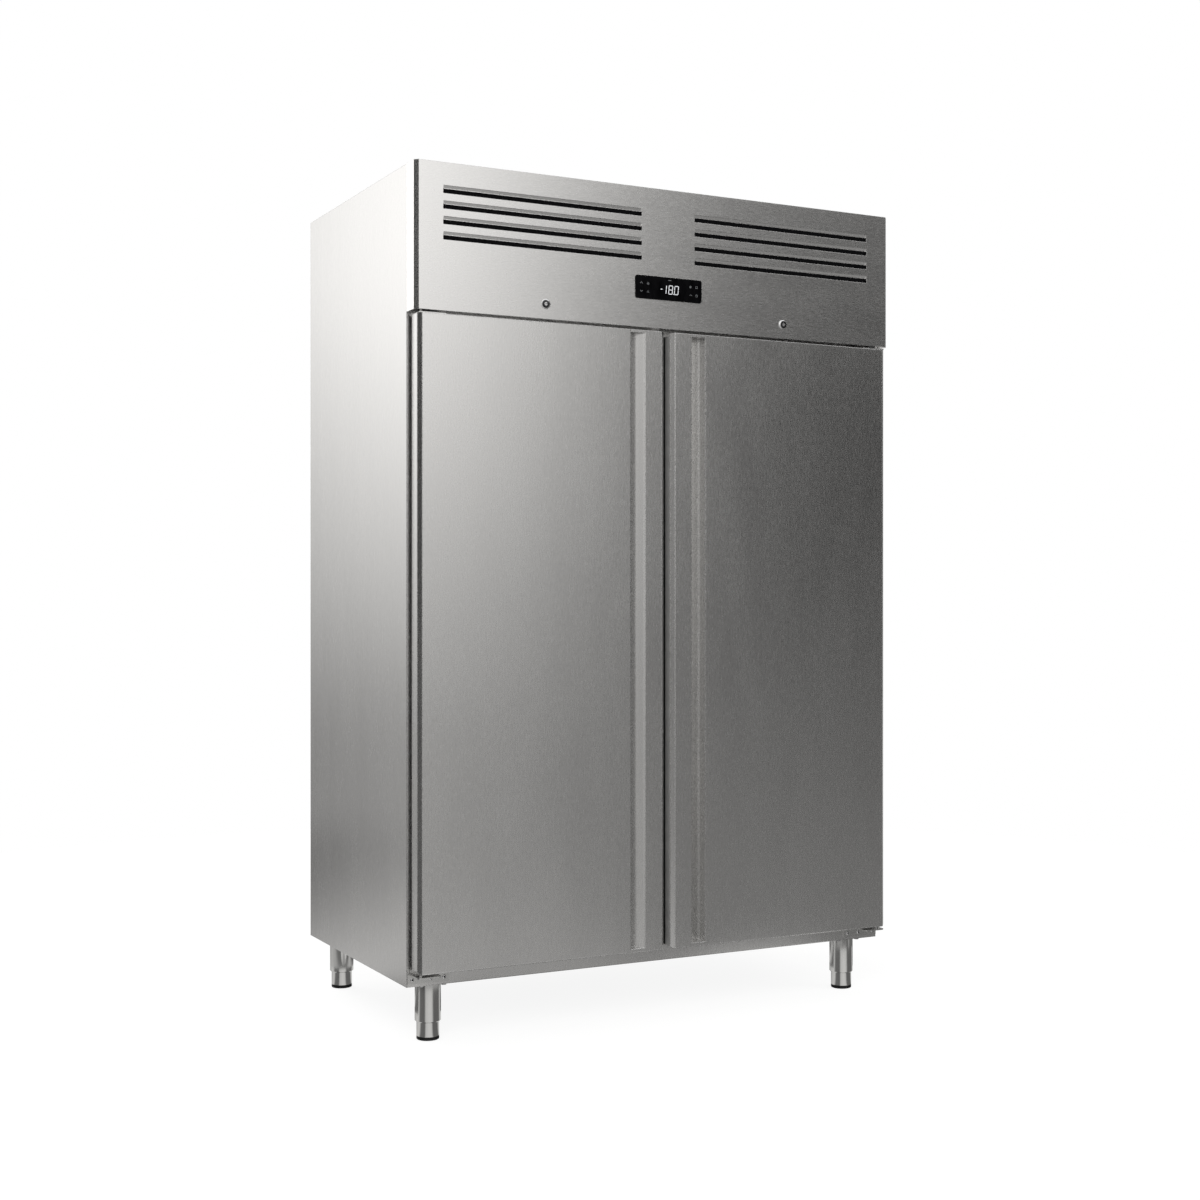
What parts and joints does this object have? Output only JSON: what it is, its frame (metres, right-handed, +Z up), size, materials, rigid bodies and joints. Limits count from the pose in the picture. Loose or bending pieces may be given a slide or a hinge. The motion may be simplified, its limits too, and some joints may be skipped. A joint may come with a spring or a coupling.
{
  "type": "pastry freezer cabinet",
  "caption": "Upright stainless steel freezer cabinet for pastry trays, with doors under a louvred machine fascia, a display, key locks and round adjustable legs.",
  "frame": {"origin": "on the floor under the centre of the whole cabinet's bounding box", "axes": "+Z up; -Y towards the doors; +X to the right for someone who faces the doors"},
  "size_m": [1.388, 0.8084, 2.13],
  "materials": {
    "stainless_side": "fine brushed stainless steel, grain along the height",
    "stainless_front": "fine brushed stainless steel",
    "stainless_inside": "satin stainless steel with coved corners",
    "galvanised": "dull galvanised sheet",
    "foam": "rigid polyurethane foam",
    "polished_steel": "polished",
    "stainless_part": "satin machined stainless steel",
    "black_glass": "glossy black display window",
    "black_plastic": "black moulded plastic",
    "grey_plastic": "grey moulded plastic",
    "black_paint": "semi-gloss black enamel",
    "rubber": "soft black elastomer",
    "gasket_rubber": "soft dark grey magnetic gasket",
    "copper": "copper tube, lightly oxidised",
    "aluminium_fins": "mill-finish aluminium fins",
    "shelf_wire": "chromed steel wire"
  },
  "bodies": {
    "cabinet": {"left_side_panel": "stainless_side", "right_side_panel": "stainless_side", "back_panel": "galvanised", "bottom_panel": "galvanised", "deck_panel": "galvanised", "front_frame": "stainless_front", "inner_liner": "stainless_inside", "insulation": "foam", "centre_post": "stainless_inside", "top_cover": "galvanised", "rear_grille": "galvanised", "fascia": "stainless_front", "display_glass": "black_glass", "controller": "black_plastic", "lock_housings": "polished_steel", "door_sensors": "black_plastic", "unit_base": "galvanised", "compressor": "black_paint", "compressor_feet": "rubber", "condenser": "black_paint", "fan_shroud": "black_paint", "refrigerant_pipes": "copper", "electrical_box": "grey_plastic", "cable_gland": "black_plastic", "evaporator_cover": "stainless_inside", "evaporator_coil": "aluminium_fins", "drip_tray": "stainless_inside", "evaporator_motors": "black_plastic", "drain_pipe": "grey_plastic", "rack_uprights": "stainless_inside", "shelf_runners": "stainless_inside", "wire_shelves": "shelf_wire", "hinge_brackets": "stainless_part", "leg_tubes": "stainless_part", "screws": "polished_steel"},
    "left_door": {"left_door_skin": "stainless_front", "left_handle_profile": "stainless_front", "left_door_foam": "foam", "left_door_inner": "stainless_inside", "left_gasket": "gasket_rubber", "left_hinge_bushes": "stainless_part"},
    "left_lock": {"left_lock_cylinder": "polished_steel"},
    "left_evaporator_rotor": {"left_evaporator_fan": "black_plastic"},
    "right_door": {"right_door_skin": "stainless_front", "right_handle_profile": "stainless_front", "right_door_foam": "foam", "right_door_inner": "stainless_inside", "right_gasket": "gasket_rubber", "right_hinge_bushes": "stainless_part"},
    "right_lock": {"right_lock_cylinder": "polished_steel"},
    "right_evaporator_rotor": {"right_evaporator_fan": "black_plastic"},
    "condenser_rotor": {"condenser_fan": "black_plastic"},
    "front_left_leveller": {"front_left_foot": "stainless_part", "front_left_pad": "rubber"},
    "front_right_leveller": {"front_right_foot": "stainless_part", "front_right_pad": "rubber"},
    "rear_left_leveller": {"rear_left_foot": "stainless_part", "rear_left_pad": "rubber"},
    "rear_right_leveller": {"rear_right_foot": "stainless_part", "rear_right_pad": "rubber"}
  },
  "joints": [
    {"name": "left_door_hinge", "type": "hinge", "parent": "cabinet", "child": "left_door", "pos_m": [-0.6732, -0.38475, 0.182], "axis": [0, 0, -1], "range_deg": [0, 110]},
    {"name": "right_door_hinge", "type": "hinge", "parent": "cabinet", "child": "right_door", "pos_m": [0.6732, -0.38475, 0.182], "axis": [0, 0, 1], "range_deg": [0, 110]},
    {"name": "left_lock_turn", "type": "hinge", "parent": "cabinet", "child": "left_lock", "pos_m": [-0.349, -0.40075, 1.81], "axis": [0, 1, 0], "range_deg": [0, 90]},
    {"name": "right_lock_turn", "type": "hinge", "parent": "cabinet", "child": "right_lock", "pos_m": [0.349, -0.40075, 1.81], "axis": [0, -1, 0], "range_deg": [0, 90]},
    {"name": "left_evaporator_fan_spin", "type": "hinge", "parent": "cabinet", "child": "left_evaporator_rotor", "pos_m": [-0.215, 0.07325, 1.6295], "axis": [0, 1, 0], "continuous": true},
    {"name": "right_evaporator_fan_spin", "type": "hinge", "parent": "cabinet", "child": "right_evaporator_rotor", "pos_m": [0.215, 0.07325, 1.6295], "axis": [0, 1, 0], "continuous": true},
    {"name": "condenser_fan_spin", "type": "hinge", "parent": "cabinet", "child": "condenser_rotor", "pos_m": [-0.3, -0.20875, 1.9215], "axis": [0, 1, 0], "continuous": true},
    {"name": "front_left_foot_screw", "type": "slide", "parent": "cabinet", "child": "front_left_leveller", "axis": [0, 0, -1], "range_m": [0, 0.04]},
    {"name": "front_right_foot_screw", "type": "slide", "parent": "cabinet", "child": "front_right_leveller", "axis": [0, 0, -1], "range_m": [0, 0.04]},
    {"name": "rear_left_foot_screw", "type": "slide", "parent": "cabinet", "child": "rear_left_leveller", "axis": [0, 0, -1], "range_m": [0, 0.04]},
    {"name": "rear_right_foot_screw", "type": "slide", "parent": "cabinet", "child": "rear_right_leveller", "axis": [0, 0, -1], "range_m": [0, 0.04]}
  ]
}
